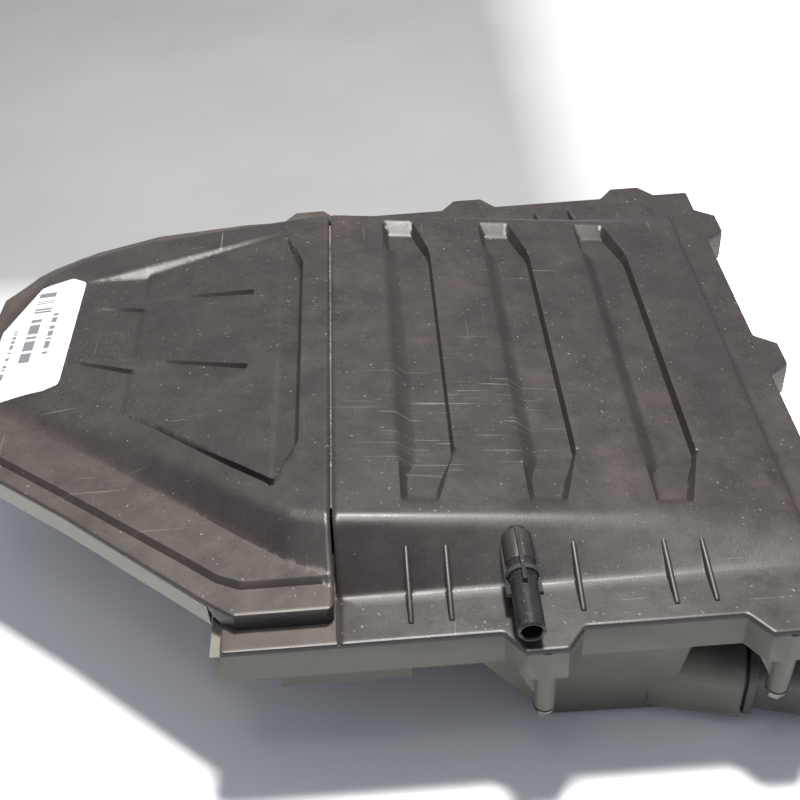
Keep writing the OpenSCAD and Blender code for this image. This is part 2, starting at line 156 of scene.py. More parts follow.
class Finish:
    """A material, with one method that adds any node."""

    def __init__(self, name):
        self.material = bpy.data.materials.new(name)
        self.material.use_nodes = True
        self.tree = self.material.node_tree
        self.shader = self.tree.nodes["Principled BSDF"]
        self.place = self.node("ShaderNodeTexCoord", output="Object")

    def node(self, kind, output=0, settings=None, **sockets):
        """Any node by its type, its settings and its sockets' values or links; i3 is the socket at 3."""
        node = self.tree.nodes.new(kind)
        for key, value in (settings or {}).items():
            setattr(node, key, value)
        for key, value in sockets.items():
            socket = node.inputs[int(key[1:])] if key[0] == "i" and key[1:].isdigit() else node.inputs[key]
            if isinstance(value, Socket):
                self.tree.links.new(value.output, socket)
            else:
                socket.default_value = value
        return Socket(self.tree, node.outputs[output])

    def noise(self, scale, detail=3.0, rough=0.55, stretch=(1, 1, 1), turn=0.0, shift=0.0):
        """Noise over the piece, stretched or turned, and shifted so that no two patterns agree."""
        spot = self.node("ShaderNodeMapping", Vector=self.place, Scale=stretch, Rotation=(0, 0, turn),
                         Location=(shift, shift, shift))
        return self.node("ShaderNodeTexNoise", Vector=spot, Scale=scale, Detail=detail, Roughness=rough)

    def along(self, axis):
        """Where a point lies along one axis, in metres."""
        return self.node("ShaderNodeSeparateXYZ", output=axis, Vector=self.place)

    def ramp(self, value, low, high):
        """Nought up to the low value, rising to one at the high one."""
        return self.node("ShaderNodeMapRange", Value=value, **{"From Min": low, "From Max": high})

    def mix(self, share, one, two):
        return self.node("ShaderNodeMix", output=2, settings={"data_type": "RGBA"}, i0=share, i6=one, i7=two)

    def bump(self, height, strength, distance, below=None):
        sockets = {"Height": height, "Strength": strength, "Distance": distance}
        if below is not None:
            sockets["Normal"] = below
        return self.node("ShaderNodeBump", **sockets)

    def feed(self, **sockets):
        """Sets or links the main shader's own sockets."""
        names = {"colour": "Base Color", "rough": "Roughness", "normal": "Normal", "metal": "Metallic",
                 "gloss": "Specular IOR Level"}
        for key, value in sockets.items():
            socket = self.shader.inputs[names[key]]
            if isinstance(value, Socket):
                self.tree.links.new(value.output, socket)
            else:
                socket.default_value = value


def rgb(*shades):
    """A colour as a screen shows it, turned into light."""
    parts = [shade / 255 for shade in shades]
    return tuple(c / 12.92 if c < 0.0404 else ((c + 0.055) / 1.055) ** 2.4 for c in parts) + (1,)


laminate = Finish("table_laminate")
table_tone = laminate.ramp(laminate.noise(6), 0.3, 0.7)
near_tone = laminate.mix(table_tone, rgb(238, 238, 238), rgb(244, 243, 241))
far_tone = laminate.mix(table_tone, rgb(130, 129, 128), rgb(136, 135, 134))
greyer = laminate.ramp(laminate.along("Y"), at(0, 150, 0).y, at(0, 270, 0).y)
greyer = greyer * laminate.ramp(laminate.along("X"), at(260, 0, 0).x, at(60, 0, 0).x)
laminate.feed(colour=laminate.mix(greyer, near_tone, far_tone), rough=0.5)
table_half = 3
table_mesh = bpy.data.meshes.new("table")
table_mesh.from_pydata([(x * table_half, y * table_half, 0) for x, y in ((-1, -1), (1, -1), (1, 1), (-1, 1))],
                       [], [(0, 1, 2, 3)])
table_mesh.materials.append(laminate.material)
shown("table", table_mesh)

# ---- Main cover ----------------------------------------------------------------------------
# The ribbed cover: a thin flange with trapezoid screw tabs, a dome that falls to the right, three
# long recesses and gusset ribs along the foot of its slopes. It is one injection moulding with a
# constant wall, made as a sheet whose height is a formula and the same sheet a wall lower.


def rounded(points, radius, steps=6):
    """A closed outline with its corners turned into arcs."""
    loop = []
    count = len(points)
    for i, corner in enumerate(points):
        corner = np.array(corner, float)
        before = np.array(points[i - 1], float) - corner
        after = np.array(points[(i + 1) % count], float) - corner
        lengths = np.linalg.norm(before), np.linalg.norm(after)
        turn = math.acos(np.clip(before @ after / (lengths[0] * lengths[1]), -1, 1))
        reach = min(radius / max(math.tan(turn / 2), 0.05), 0.45 * min(lengths))
        start, end = corner + before / lengths[0] * reach, corner + after / lengths[1] * reach
        for k in range(steps + 1):
            t = k / steps
            loop.append((1 - t) ** 2 * start + 2 * t * (1 - t) * corner + t * t * end)
    return np.array(loop)


def stepped(loop, gap, closed=True):
    """The same line with a point at least every gap millimetres."""
    points = []
    pairs = zip(loop, np.roll(loop, -1, axis=0)) if closed else zip(loop[:-1], loop[1:])
    for a, b in pairs:
        count = max(1, int(math.ceil(np.linalg.norm(b - a) / gap)))
        points += [a + (b - a) * k / count for k in range(count)]
    if not closed:
        points.append(loop[-1])
    kept = [points[0]]
    for p in points[1:]:
        if np.linalg.norm(p - kept[-1]) > 0.05:
            kept.append(p)
    if closed and np.linalg.norm(kept[0] - kept[-1]) <= 0.05:
        kept.pop()
    return np.array(kept)


def within(p, loop):
    """Whether each point lies inside a closed outline."""
    x, y = p[:, 0], p[:, 1]
    inside = np.zeros(len(p), bool)
    for a, b in zip(loop, np.roll(loop, -1, axis=0)):
        crosses = (a[1] > y) != (b[1] > y)
        if crosses.any():
            edge = a[0] + (y - a[1]) * (b[0] - a[0]) / (b[1] - a[1] if b[1] != a[1] else 1e-9)
            inside ^= crosses & (x < edge)
    return inside


def distance(p, loop):
    """Distance from each point to a closed outline, positive inside."""
    best = np.full(len(p), 1e9)
    for a, b in zip(loop, np.roll(loop, -1, axis=0)):
        d = b - a
        t = np.clip(((p - a) @ d) / max(d @ d, 1e-9), 0, 1)
        best = np.minimum(best, np.hypot(*(p - a - t[:, None] * d).T))
    return np.where(within(p, loop), best, -best)


def lower_of(a, b, blend):
    """The lower of two heights, with a rounded corner between them."""
    h = np.maximum(blend - np.abs(a - b), 0) / blend
    return np.minimum(a, b) - h * h * blend / 4


def higher_of(a, b, blend):
    """The higher of two heights, with a rounded corner between them."""
    return -lower_of(-a, -b, blend)


def inward(loop, gap):
    """A closed counter-clockwise outline moved inwards."""
    before, after = np.roll(loop, 1, axis=0), np.roll(loop, -1, axis=0)
    u = (loop - before) / np.linalg.norm(loop - before, axis=1)[:, None]
    v = (after - loop) / np.linalg.norm(after - loop, axis=1)[:, None]
    m = np.stack([-u[:, 1] - v[:, 1], u[:, 0] + v[:, 0]], 1)
    return loop + m * 2 * gap / np.maximum((m * m).sum(1), 1.0)[:, None]


def bent_points(top, low, high, coarse, fine, bend):
    """Points over a rectangle, close together where the height bends and far apart where it is flat."""
    gx, gy = np.arange(low[0], high[0], fine), np.arange(low[1], high[1], fine)
    grid = np.stack(np.meshgrid(gx, gy, indexing="ij"), -1)
    height = top(grid.reshape(-1, 2)).reshape(grid.shape[:2])
    curve = np.zeros_like(height)
    curve[1:-1, :] = np.abs(height[2:, :] - 2 * height[1:-1, :] + height[:-2, :])
    curve[:, 1:-1] += np.abs(height[:, 2:] - 2 * height[:, 1:-1] + height[:, :-2])
    busy = curve > bend
    busy[1:, :] |= busy[:-1, :].copy()
    busy[:, 1:] |= busy[:, :-1].copy()
    step = max(1, int(round(coarse / fine)))
    regular = np.zeros_like(busy)
    regular[::step, ::step] = True
    return grid[busy | regular]


def crease_pieces(lines, outline, margin):
    """The lines cut into short pieces, without those too near the outline."""
    pieces = []
    for line in lines:
        line = stepped(np.array(line, float), 0.9, closed=False)
        clear = distance(line, outline) > margin
        pieces += [line[i:i + 2] for i in range(len(line) - 1) if clear[i] and clear[i + 1]]
    return pieces


def away_from(points, creases, size=0.55):
    """The points without those in or next to a cell that a crease runs through."""
    marks = np.array([c[0] + (c[1] - c[0]) * t for c in creases for t in (0.0, 0.5, 1.0)])
    taken = {(i + a, j + b) for i, j in np.floor(marks / size).astype(int)
             for a in (-1, 0, 1) for b in (-1, 0, 1)}
    cells = np.floor(points / size).astype(int)
    return np.array([point for point, cell in zip(points, cells) if tuple(cell) not in taken])


def flat_triangles(loops, bands, creases, points):
    """Corners and upward triangles of the flat area inside the first loop and outside the others."""
    edges, start = [], 0
    for part in loops + bands:
        n = len(part)
        edges += [(start + i, start + (i + 1) % n) for i in range(n)]
        start += n
    edges += [(start + 2 * k, start + 2 * k + 1) for k in range(len(creases))]
    flat = np.concatenate(loops + bands + creases + [points])
    verts, _, faces, *_ = delaunay_2d_cdt([Vector(p) for p in flat], edges, [], 0, 1e-3)
    verts = np.array([tuple(v) for v in verts])
    faces = np.array([f for f in faces if len(f) == 3])
    middle = verts[faces].mean(1)
    keep = within(middle, loops[0])
    for hole in loops[1:]:
        keep &= ~within(middle, hole)
    faces = faces[keep]
    a, b, c = (verts[faces[:, i]] for i in range(3))
    flip = ((b - a)[:, 0] * (c - a)[:, 1] - (b - a)[:, 1] * (c - a)[:, 0]) < 0
    faces[flip] = faces[flip][:, ::-1]
    return verts, faces


def sheet(outline, holes, top, under, rows=(0.35, 0.8, 1.5), coarse=5.0, fine=1.25, bend=0.05, lines=()):
    """Vertices and faces of a closed sheet between two heights, finer where the top bends.

    Rows of edges follow the outline at the given distances inside it. The lines are creases of the
    height, open or closed, that the sheet's edges follow."""
    loops = [stepped(outline, 2.0)] + [stepped(h, 3.0) for h in holes]
    points = bent_points(top, outline.min(0), outline.max(0), coarse, fine, bend)
    points = points[distance(points, loops[0]) > rows[-1] + 0.6]
    for hole in loops[1:]:
        points = points[distance(points, hole) < -1.0]
    bands = [stepped(inward(loops[0], r), 1.2) for r in rows]
    creases = crease_pieces(lines, loops[0], rows[-1] + 0.3)
    if creases:
        points = away_from(points, creases)
    verts, faces = flat_triangles(loops, bands, creases, points)
    count = len(verts)
    sides = {(f[i], f[(i + 1) % 3]): True for f in faces for i in range(3)}
    rim = [side for side in sides if side[::-1] not in sides]
    solid_faces = [tuple(f) for f in faces] + [tuple(f[::-1] + count) for f in faces]
    solid_faces += [(b, a, a + count, b + count) for a, b in rim]
    solid = np.concatenate([np.column_stack([verts, top(verts)]), np.column_stack([verts, under(verts)])])
    return [tuple(p) for p in solid], [tuple(int(i) for i in f) for f in solid_faces]


def turned(profile, where=(0, 0, 0), axis="z", steps=48):
    """A closed ring or rod turned from (radius, height) points, counter-clockwise on its right half."""
    verts, faces, n = [], [], len(profile)
    for k in range(steps):
        c, s = math.cos(2 * math.pi * k / steps), math.sin(2 * math.pi * k / steps)
        for r, h in profile:
            spot = {"z": (r * c, r * s, h), "y": (r * s, h, r * c)}[axis]
            verts.append(tuple(a + b for a, b in zip(spot, where)))
    for k in range(steps):
        for i in range(n):
            j = (i + 1) % n
            a, b = k * n, (k + 1) % steps * n
            faces.append((a + i, b + i, b + j, a + j))
    return verts, faces


def joined(name, parts, place):
    """One mesh from several closed solids, each corner put where place says."""
    verts, faces = [], []
    for part_verts, part_faces in parts:
        faces += [tuple(i + len(verts) for i in f) for f in part_faces]
        verts += [tuple(place(*v)) for v in part_verts]
    mesh = bpy.data.meshes.new(name)
    mesh.from_pydata(verts, [], faces)
    return mesh


def smoothed(mesh, sharp_above=35):
    """Smooth shading, apart from edges sharper than an angle in degrees."""
    mesh.polygons.foreach_set("use_smooth", [True] * len(mesh.polygons))
    mesh.set_sharp_from_angle(angle=math.radians(sharp_above))


def piece(name, parts, finish, body, stands_for):
    """One object from several closed solids given in millimetres from the flange's centre."""
    mesh = joined(name, parts, at)
    mesh.validate()
    mesh.materials.append(finish.material)
    thing = shown(name, mesh)
    smoothed(mesh)
    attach(thing, body)
    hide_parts(*stands_for)


seam = -90.0


def moulded_plastic(name, dark, pale, dust, roughness=0.42, dusting=0.5, scratch=0.5, grain=0.35, gloss=0.4):
    """Filled moulded plastic: fine grain, mottling, a film of dust, specks and fine scratches."""
    f = Finish(name)
    facing = f.node("ShaderNodeNewGeometry", output="Normal")
    upward = f.ramp(f.node("ShaderNodeSeparateXYZ", output="Z", Vector=facing), 0.35, 0.98)
    # The resin's own two tones
    mottle = f.ramp(f.noise(60, 5, 0.65), 0.3, 0.72)
    base = f.mix(mottle, dark, pale)
    # Dust lies as a film in broad patches, and as grit in finer ones
    broad = f.ramp(f.noise(7, 3), 0.38, 0.66)
    film = f.ramp(f.noise(26, 7, 0.75, shift=4.0), 0.42, 0.75) * (broad * 0.8 + 0.2) * upward
    base = f.mix((film * dusting).math("MINIMUM", 0.8), base, dust)
    grit = f.ramp(f.noise(900, 3, 0.7, shift=7.0), 0.52, 0.7)
    grit = grit * f.ramp(f.noise(24, 5, 0.7, shift=3.0), 0.4, 0.62)
    base = f.mix(grit * upward * (0.9 * dusting), base, dust)
    # Small dark stains
    stain = f.ramp(f.noise(30, 6, 0.8, shift=12.0), 0.6, 0.64) * upward * (0.35 * dusting)
    base = f.mix(stain, base, rgb(24, 22, 21))
    # More dust on the duct's low ledge, left of the seam
    ledge_dust = f.ramp(f.along("Z"), at(0, 0, deck + 15).z, at(0, 0, deck + 12).z)
    ledge_dust = ledge_dust * f.ramp(f.along("X"), at(seam + 2, 0, 0).x, at(seam - 2, 0, 0).x)
    base = f.mix(ledge_dust * upward * (mottle * 0.5 + 0.5) * (1.1 * dusting), base, dust)
    # Pale specks
    specks = f.ramp(f.noise(620, 1, 0.4, shift=9.0), 0.755, 0.785) * upward
    base = f.mix(specks * (0.5 * dusting + 0.2), base, rgb(176, 168, 158))
    # Stray scratches both ways, and a rubbed patch between the first two recesses
    across = f.ramp(f.noise(26, 2, 0.5, stretch=(0.5, 22, 1), turn=0.12), 0.725, 0.75)
    along = f.ramp(f.noise(30, 2, 0.5, stretch=(20, 0.45, 1), turn=-0.35, shift=2.0), 0.735, 0.76)
    patch = f.ramp(f.noise(11, 2, shift=6.0), 0.46, 0.6)
    rubbed = f.node("ShaderNodeVectorMath", output="Value", settings={"operation": "DISTANCE"}, i0=f.place,
                    i1=tuple(at(-30, -50, deck + 24)))
    scuffs = f.ramp(f.noise(30, 2, 0.5, stretch=(0.6, 24, 1), turn=0.08, shift=5.0), 0.64, 0.68)
    scuffs = scuffs * f.ramp(rubbed, 0.062, 0.02)
    lines = ((across + along) * patch + scuffs).math("MINIMUM", 1.0) * upward * scratch
    base = f.mix(lines * 0.7, base, rgb(150, 142, 134))
    rough = (mottle * 0.1 + roughness + film * (0.3 * dusting) - lines * 0.1).math("MINIMUM", 0.9)
    # The mould's fine grain
    cell = f.node("ShaderNodeTexVoronoi", output="Distance", Vector=f.place, Scale=800.0)
    relief = f.bump(f.noise(1500, 2, 0.5) * 0.6 + cell * 0.7, grain, 0.00008)
    relief = f.bump(mottle, 0.1, 0.0003, relief)
    f.feed(colour=base, rough=rough, normal=relief, gloss=gloss)
    return f


cover_plastic = moulded_plastic("cover_plastic", rgb(42, 38, 37), rgb(48, 44, 42), rgb(104, 92, 82),
                                roughness=0.34, dusting=0.27, grain=0.3, gloss=0.3)

half_w, half_d = flange_w / 2, flange_d / 2
tab_base, tab_tip = 35.0, 18.0
front_tabs, back_tabs, right_tabs = (-2.0, 102.0), (102.0, -2.0, -106.0), (-131.5, 0.0, 133.5)
flange_t = 3.0
wall = 2.6
dome_end = 119.0
dome_fall = 0.112


def tabbed_outline():
    """The flange's outline with a trapezoid tab at each screw, counter-clockwise from the front left."""
    reach_w, reach_d, base, tip = half_w + tab_out, half_d + tab_out, tab_base / 2, tab_tip / 2
    points = [(-half_w, -half_d)]
    for x in front_tabs:
        points += [(x - base, -half_d), (x - tip, -reach_d), (x + tip, -reach_d), (x + base, -half_d)]
    points += [(half_w, -half_d)]
    for y in right_tabs:
        points += [(half_w, y - base), (reach_w, y - tip), (reach_w, y + tip), (half_w, y + base)]
    points += [(half_w, half_d)]
    for x in back_tabs:
        points += [(x + base, half_d), (x + tip, reach_d), (x - tip, reach_d), (x - base, half_d)]
    points += [(-half_w, half_d)]
    return rounded([p for i, p in enumerate(points) if p != points[i - 1]], 2.5)


def dome_top(x):
    """The dome's flat top, which falls to the right."""
    return deck + dome_high - dome_fall * (x - seam)


recess_lefts = [-59.0 + 58.4 * i for i in range(3)]
recess_front, recess_back, recess_depth = -115.0, 126.0, 6.0
recess_w, recess_front_w, recess_back_w = 27.0, 17.0, 18.4


def recess_walls(y):
    """A recess's width, and how far its left and right walls run out, from front to back."""
    width = np.interp(y, [recess_front, recess_front + 35, recess_back - 33, recess_back],
                      [recess_front_w, recess_w, recess_w, recess_back_w])
    ends = np.minimum(y - recess_front, recess_back - y)
    return width, np.interp(ends, [0, 22, 30], [3.4, 3.4, 7.5]), np.interp(ends, [0, 20, 36], [3.4, 3.4, 1.5])


def recess_cut(p, left):
    """How far a recess sinks below the dome: walls of different slopes around a flat floor."""
    x, y = p[:, 0] - left, p[:, 1]
    width, left_run, right_run = recess_walls(y)
    depth = lower_of(x / left_run, (width - x) / right_run, 0.2) * recess_depth
    depth = lower_of(depth, (recess_back - y) * 0.67, 0.8)
    depth = lower_of(depth, (y - recess_front) * 0.75, 0.8)
    floor = np.interp(y, [recess_front + 7, recess_front + 36], [recess_depth - 1.4, recess_depth])
    depth = lower_of(depth, floor, 0.5)
    return higher_of(depth, np.zeros(len(p)), 0.5)


dome_foot, front_run, back_run, end_rise = 148.0, 23.0, 16.0, 4.8


def cover_height(p):
    """The cover's upper face: the flange, the dome on it, the recesses and the rounded seam edge."""
    x, y = p[:, 0], p[:, 1]
    top = dome_top(x)
    rise = top - deck
    dome = lower_of(deck + rise * (y + dome_foot) / front_run, deck + rise * (dome_foot - y) / back_run, 1)
    dome = lower_of(dome, deck + end_rise * (dome_end + 5 - x) / 4, 0.8)
    dome = lower_of(dome, top, 3.6)
    beneath = deck - 5
    dome = np.where((x > seam + 0.2) & (np.abs(y) < dome_foot + 1) & (x < dome_end + 8), dome, beneath)
    height = higher_of(dome, np.full(len(p), deck), 1.0)
    for left in recess_lefts:
        near = (x > left - 1) & (x < left + recess_w + 2) & (y > recess_front - 1) & (y < recess_back + 1)
        height[near] -= recess_cut(p[near], left)
    seam_round = np.clip((seam + 2.2 - x) / 2.2, 0, 1)
    height = np.where(x < seam + 0.2, deck, height - (x < seam + 2.4) * 1.3 * seam_round ** 2)
    return height


def edge_rounded(height, outline, radius=1.1):
    """The same height with its edge along the outline rounded off."""
    def shaped(p):
        d = np.clip(distance(p, outline), 0, radius)
        return height(p) - (radius - np.sqrt(np.maximum(radius ** 2 - (radius - d) ** 2, 0)))
    return shaped


def cover_under(p):
    """The cover's lower face: a wall below the dome, and the flange's own lower face."""
    top = cover_height(p)
    return np.where(top > deck + 0.6, np.maximum(top - wall, deck - flange_t), deck - flange_t)


def rectangle(x0, x1, y0, y1):
    return np.array([(x0, y0), (x1, y0), (x1, y1), (x0, y1)], float)


cover_outline = tabbed_outline()


def recess_lines(left):
    """The creases round one recess: its rim, the feet of its walls."""
    y = np.linspace(recess_front, recess_back, 40)
    width, left_run, right_run = recess_walls(y)
    lines = [np.column_stack([left + x, y]) for x in (0 * y, left_run, width, width - right_run)]
    for end in (recess_front, recess_front + 5, recess_back - 9, recess_back):
        lines.append(np.array([(left, end), (left + recess_front_w, end)]))
    return lines


cover_lines = [line for left in recess_lefts for line in recess_lines(left)]
duct_hole = rounded(rectangle(-half_w + 14, seam - 4, -141, 141), 4)
cover_sheet = sheet(cover_outline, [duct_hole], edge_rounded(cover_height, cover_outline), cover_under,
                    lines=cover_lines)

fin_t = 2.5


def gusset(x, foot, top_y):
    """A thin fin that bridges the foot of a slope, with its upper edges rounded."""
    side = 1 if foot > 0 else -1
    top_z = float(cover_height(np.array([[x, top_y]]))[0])
    crest = [(foot, deck - 0.5), (foot, deck + 0.5), (foot - side * 0.8, deck + 1.3),
             (top_y, top_z + 0.6), (top_y - side * 1.5, top_z - 2.5), (top_y - side * 2, deck - 0.5)]
    if side > 0:
        crest = crest[::-1]
    verts, faces = [], []
    half = fin_t / 2
    slices = [(-half, 0.9), (0.35 - half, 0.35), (0.85 - half, 0.0), (half - 0.85, 0.0), (half - 0.35, 0.35),
              (half, 0.9)]
    for offset, sink in slices:
        verts += [(x + offset, y, z - (sink if z > deck else 0)) for y, z in crest]
    n = len(crest)
    for k in range(0, (len(slices) - 1) * n, n):
        faces += [(k + i, k + n + i, k + n + (i + 1) % n, k + (i + 1) % n) for i in range(n)]
    faces += [tuple(range(n)), tuple(range(len(slices) * n - 1, (len(slices) - 1) * n - 1, -1))]
    return verts, [f[::-1] for f in faces]


fins = [gusset(x, -165.0, -134.0) for x in (-58.3, -40.7, 16.2, 56.7, 73.9)]
fins += [gusset(x, 160.0, 136.0) for x in (40.0, 62.0)]

screw_out = 6.0
screw_at = [(x, -half_d - screw_out) for x in front_tabs] + [(x, half_d + screw_out) for x in back_tabs]
screw_at += [(half_w + screw_out, y) for y in right_tabs]
boss_low = deck - 15
boss_r, boss_bore = 4.3, 3.42
boss_profile = [(boss_bore, boss_low + 0.3), (boss_r - 0.4, boss_low), (boss_r, boss_low + 0.4),
                (boss_r, deck - 2), (boss_bore, deck - 2)]
bosses = [turned(boss_profile, (x, y, 0), steps=32) for x, y in screw_at]
vent_x, vent_z = -9.0, deck + 12
vent_boss = turned([(5.5, -131), (5.5, -147), (6.5, -147.2), (6.9, -146.6), (7.0, -131)][::-1],
                   (vent_x, 0, vent_z), "y")
piece("main_cover_shell", [cover_sheet] + fins + bosses + [vent_boss], cover_plastic, "cover", ["main_cover"])

# ---- Duct, upper shell ---------------------------------------------------------------------
# The left cover over the clean-air duct: a stepped ledge, a slope up to a sloping top and a
# shallow pocket with two straight stiffening louvres. Same moulding material as the cover.
duct_rise = 0.07
ledge, ledge_step, step_run = deck + 9.5, 3.0, 2.4
duct_edge = np.array([(-91, 158), (-146, 158), (-200, 152), (-238, 138), (-262, 122), (-286, 92), (-286, -42),
                      (-221, -91.5), (-191, -116.3), (-143, -155.5), (-134, -161.5), (-91, -161.5)], float)
past_seam = -55
# From the edge inwards: the ledge's step, the foot of the slope, and the slope's upper crease
duct_step = np.array([(past_seam, 148), (-146, 148), (-204, 143), (-244, 129), (-266, 112), (-285, 84),
                      (-285, -33), (-224, -79), (-158, -130), (-143, -142), (-132, -147),
                      (past_seam, -147)], float)
duct_foot = np.array([(past_seam, 147), (-146, 146), (-204, 141), (-243, 127), (-265, 109), (-284, 60),
                      (-283, -6), (-212, -56), (-161.6, -95.4), (-133, -118.4), (-111, -135), (-91, -144.8),
                      (past_seam, -150)], float)
duct_crease = np.array([(past_seam, 133), (-91, 132.5), (-146, 131), (-203, 128.5), (-239, 118), (-259, 101),
                        (-279, 50), (-279, 4), (-207, -43.5), (-161, -78), (-132, -102.5), (-109, -118.5),
                        (-91, -124.5), (past_seam, -125)], float)
pocket = np.array([(-227, 95), (-203, -30), (-193, -37), (-118, -101), (-113.5, -97), (-105.8, -71),
                   (-106, 83), (-114, 114), (-118, 118.5)], float)


def side_of(p, a, b):
    """Distance to the left of the line from a to b."""
    a, b = np.array(a, float), np.array(b, float)
    d = (b - a) / np.linalg.norm(b - a)
    return d[0] * (p[:, 1] - a[1]) - d[1] * (p[:, 0] - a[0])


def strip(p, start, end, widths):
    """How far inside a straight tapering strip each point lies, and its share of the way along."""
    a, b = np.array(start, float), np.array(end, float)
    length = np.linalg.norm(b - a)
    d = (b - a) / length
    along = (p - a) @ d
    across = np.abs(d[0] * (p[:, 1] - a[1]) - d[1] * (p[:, 0] - a[0]))
    half = np.interp(along, [0, length], widths) / 2
    return np.minimum(half - across, np.minimum(along, length - along)), along / length


def pocket_depth(p):
    """How far the pocket sinks: a floor that slopes both ways, a trench along its front, steep walls."""
    x = p[:, 0]
    panel = np.interp(x, [-240, -200.5, -199.5, -118, -107.5], [0, 4.9, 4.9, 0.5, 5.6])
    panel = panel - 0.9 * np.clip((x + 199) / 2.5, 0, 1) * np.clip((-118 - x) / 60, 0, 1)
    back = side_of(p, (-118, 118.5), (-240, 92))
    front = side_of(p, (-193, -37), (-118, -101))
    corner = side_of(p, (-118, -101), (-105.8, -71))
    right = side_of(p, (-105.8, -71), (-106, 83))
    turn = side_of(p, (-106, 83), (-118, 118.5))
    left_front = np.where(x < -193, side_of(p, (-240, -33), (-193, -37)), 20)
    trench = np.clip((4.3 - front) / 1.1, 0, 1) * np.clip((x + 196) / 6, 0, 1)
    depth = panel + np.maximum(4.6 - panel, 0) * trench
    gentle, steep = 0.8, 2.6
    for edge, slope in ((back, gentle), (front, steep), (corner, steep), (right, steep), (turn, steep),
                        (left_front, gentle)):
        depth = lower_of(depth, edge * slope, 0.5)
    return higher_of(depth, np.zeros(len(p)), 0.3)


# Each louvre's left end, right end, and its width at both
louvres = [((-243, 72), (-135, 57.5), (9, 10.5)), ((-232, 21), (-136, -10.5), (9.5, 10.5))]


def duct_height(p):
    """The duct's upper face: ledge, step, slope, sloping top, pocket and louvres."""
    x = p[:, 0]
    top = deck + dome_high - duct_rise * (seam - x)
    foot, crease = distance(p, duct_foot), distance(p, duct_crease)
    climb = (top - ledge - ledge_step) * foot / np.maximum(foot - crease, 2.0)
    step = np.clip(distance(p, duct_step) / step_run, 0, 1)
    low = ledge + ledge_step * step * step * (3 - 2 * step)
    height = higher_of(low, lower_of(ledge + ledge_step + climb, top, 3.0), 0.35)
    depth = np.zeros(len(p))
    near = crease > 1
    depth[near] = pocket_depth(p[near])
    for start, end, widths in louvres:
        inside, share = strip(p, start, end, widths)
        line = np.where(inside > -1, np.interp(share, [0, 0.55, 1], [0, 4.0, 3.6]), 0)
        blend = np.clip(inside / 1.2 + 0.5, 0, 1)
        depth = depth * (1 - blend) + line * blend
    seam_round = np.clip((x - seam + 3.2) / 2.2, 0, 1)
    return height - depth - 1.3 * seam_round ** 2


duct_outline = rounded(duct_edge, 5)
duct_outline[:, 0] = np.minimum(duct_outline[:, 0], seam - 1)
skirt_left = -141.5
# The duct's edge, carried on past the seam where it has no wall
open_duct = np.concatenate([duct_edge[1:-1], [(past_seam, -161.5), (past_seam, 158)]])


def duct_under(p):
    """A wall below the upper face, or the foot of the skirt along the edge."""
    skirt = np.interp(p[:, 0], [skirt_left - 6, skirt_left], [ledge - 2.6, deck + 0.3])
    return np.where(distance(p, open_duct) < wall - 0.05, skirt, duct_height(p) - wall)


def closed(loop):
    return np.concatenate([loop, loop[:1]])


duct_lines = [closed(duct_step), closed(inward(duct_step, step_run)), closed(duct_foot), closed(duct_crease),
              closed(pocket), closed(inward(pocket, 1.6)),
              [(-193.7, -33.2), (-118, -96.4)], [(-193.7, -32), (-118, -95)], [(-200, -36), (-200, 102)],
              [(-120, -96), (-120, 115)], [(-107.5, -75), (-107.5, 84)]]
for start, end, widths in louvres:
    a, b = np.array(start, float), np.array(end, float)
    d = (b - a) / np.linalg.norm(b - a)
    n = np.array([-d[1], d[0]])
    for grow in (-0.6, 0.6):
        corners = [a + n * (widths[0] / 2 + grow) - d * grow, b + n * (widths[1] / 2 + grow) + d * grow,
                   b - n * (widths[1] / 2 + grow) + d * grow, a - n * (widths[0] / 2 + grow) - d * grow]
        duct_lines.append(closed(np.array(corners)))
duct_sheet = sheet(duct_outline, [], edge_rounded(duct_height, open_duct, 1.6), duct_under,
                   rows=(0.3, 0.8, 1.6, 2.5, 2.6, 3.2), lines=duct_lines)
piece("duct_upper_shell_skin", [duct_sheet], cover_plastic, "cover", ["duct_upper_shell"])

# ---- Seam gasket ---------------------------------------------------------------------------
# The soft rubber bead pressed into the groove between the duct and the cover, which joins them.
# Dust collects along it.
gasket_rubber = moulded_plastic("gasket_rubber", rgb(40, 38, 36), rgb(58, 54, 50), rgb(150, 138, 122),
                                roughness=0.7, dusting=1.2, scratch=0.0)


def repaint(node, finish):
    """Gives a CAD solid that keeps its shape a better finish."""
    thing = bpy.data.objects[node]
    if not thing.material_slots:
        thing.data.materials.append(finish.material)
    for slot in thing.material_slots:
        slot.material = finish.material


repaint("seam_gasket", gasket_rubber)

# ---- Lower housing -------------------------------------------------------------------------
# The tub: a deep rim, two chambers below it, screw posts and a lug at the corner. It is a
# drier moulding than the cover, painted paler to stand for the light that the white table throws up onto it.
# Painted light: these colours are paler than the cover's to stand for light thrown up from the white table
tub_plastic = moulded_plastic("tub_plastic", rgb(76, 73, 67), rgb(88, 85, 77), rgb(128, 120, 108),
                              roughness=0.48, dusting=0.35, scratch=0.3, grain=0.5)


